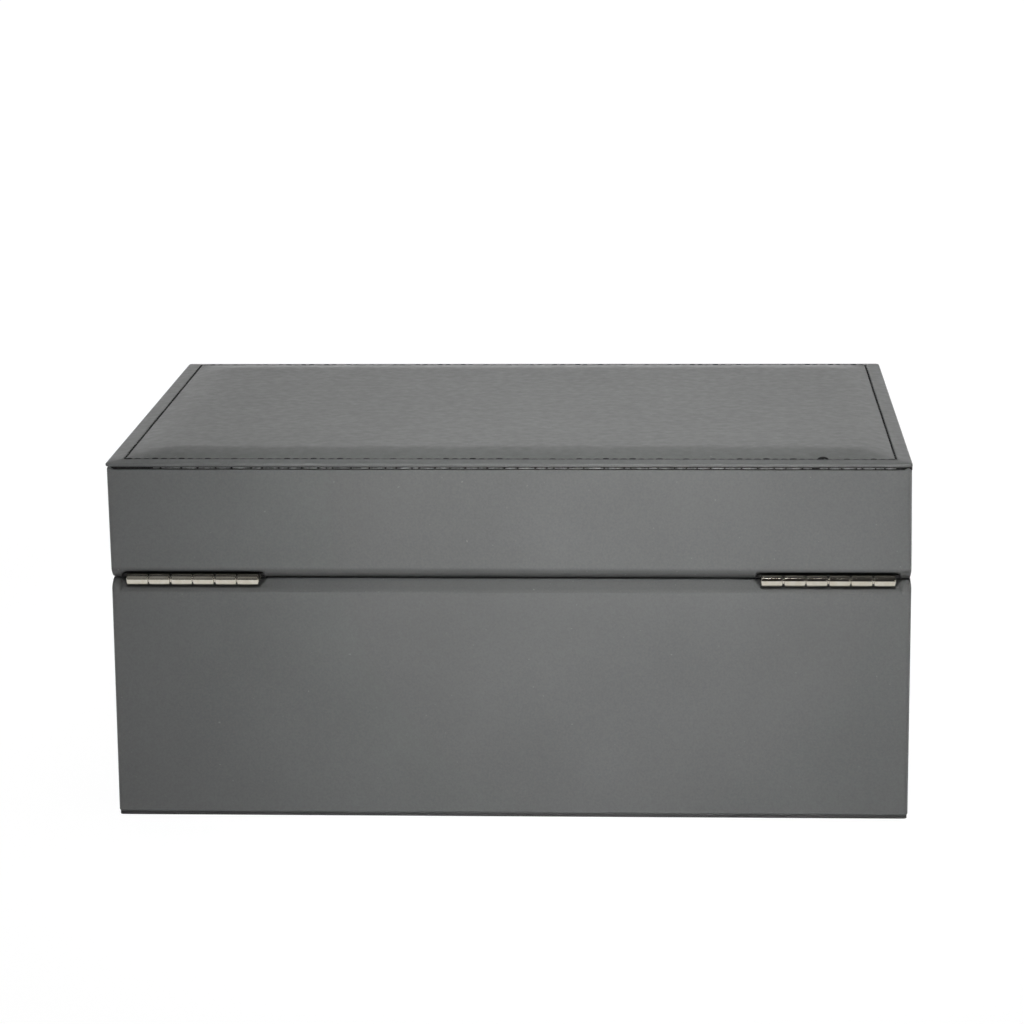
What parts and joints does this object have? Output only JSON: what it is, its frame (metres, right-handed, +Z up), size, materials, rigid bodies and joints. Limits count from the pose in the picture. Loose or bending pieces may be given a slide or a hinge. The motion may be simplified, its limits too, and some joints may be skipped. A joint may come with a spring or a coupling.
{
  "type": "jewelry box",
  "caption": "Hinged jewelry box in grey leatherette with a padded lid, a mirror inside, lift-out trays with ring rolls and a small key lock.",
  "frame": {"origin": "on the table, under the middle of the closed box with its hinges and lock", "axes": "+X along the width to the right as seen from the front, +Y towards the hinges, +Z up"},
  "size_m": [0.3006, 0.2238, 0.139],
  "materials": {
    "leatherette": "fine matte grain",
    "board": "raw fibreboard",
    "card": "grey card",
    "foam": "soft foam",
    "underside": "flocked",
    "velvet": "short pile",
    "ribbon": "satin",
    "mirror_glass": "polished",
    "nickel": "polished nickel"
  },
  "bodies": {
    "base": {"underside_sheet": "underside", "base_front_board": "board", "base_back_board": "board", "base_left_board": "board", "base_right_board": "board", "base_floor_board": "board", "base_leather": "leatherette", "base_wall_lining": "velvet", "base_floor_lining": "velvet", "left_tray_ledge": "velvet", "right_tray_ledge": "velvet", "base_long_divider": "velvet", "base_cross_divider": "velvet", "left_hinge_base_leaf": "nickel", "right_hinge_base_leaf": "nickel", "left_hinge_pin": "nickel", "right_hinge_pin": "nickel", "hinge_base_screws": "nickel", "lock_case": "nickel", "lock_bezel": "nickel", "lock_screws": "nickel"},
    "lid": {"lid_front_board": "board", "lid_back_board": "board", "lid_left_board": "board", "lid_right_board": "board", "lid_top_board": "board", "lid_leather": "leatherette", "lid_wall_lining": "velvet", "mirror_frame": "velvet", "mirror": "mirror_glass", "top_card": "card", "top_foam": "foam", "top_leather": "leatherette", "left_hinge_lid_leaf": "nickel", "right_hinge_lid_leaf": "nickel", "hinge_lid_screws": "nickel", "lock_keeper": "nickel", "keeper_screws": "nickel"},
    "lower_tray": {"lower_tray_floor": "velvet", "lower_tray_walls": "velvet", "lower_tray_long_divider": "velvet", "lower_tray_cross_dividers": "velvet", "lower_tray_pulls": "ribbon"},
    "upper_tray": {"upper_tray_floor": "velvet", "upper_tray_walls": "velvet", "upper_tray_long_divider": "velvet", "upper_tray_cross_dividers": "velvet", "upper_tray_pulls": "ribbon", "ring_roll_1": "velvet", "ring_roll_2": "velvet", "ring_roll_3": "velvet", "ring_roll_4": "velvet", "ring_roll_5": "velvet"},
    "lock_plug": {"lock_plug": "nickel"},
    "lock_bolt": {"lock_bolt": "nickel"}
  },
  "joints": [
    {"name": "lid_hinge", "type": "hinge", "parent": "base", "child": "lid", "pos_m": [0, 0.10963, 0.09245], "axis": [-1, 0, 0], "range_deg": [0, 100]},
    {"name": "upper_tray_lift", "type": "slide", "parent": "base", "child": "upper_tray", "axis": [0, 0, 1], "range_m": [0, 0.12]},
    {"name": "lower_tray_lift", "type": "slide", "parent": "base", "child": "lower_tray", "axis": [0, 0, 1], "range_m": [0, 0.06]},
    {"name": "lock_turn", "type": "hinge", "parent": "base", "child": "lock_plug", "pos_m": [0, -0.11038, 0.0787], "axis": [0, -1, 0], "range_deg": [0, 90]},
    {"name": "bolt_slide", "type": "slide", "parent": "base", "child": "lock_bolt", "axis": [1, 0, 0], "range_m": [0, 0.004]}
  ],
  "couplings": [
    {"joint": "upper_tray_lift", "follows": "lid_hinge", "m_per_rad": 0.06875},
    {"joint": "lower_tray_lift", "follows": "lid_hinge", "m_per_rad": 0.03437},
    {"joint": "lock_turn", "follows": "bolt_slide", "rad_per_m": 392.69}
  ]
}
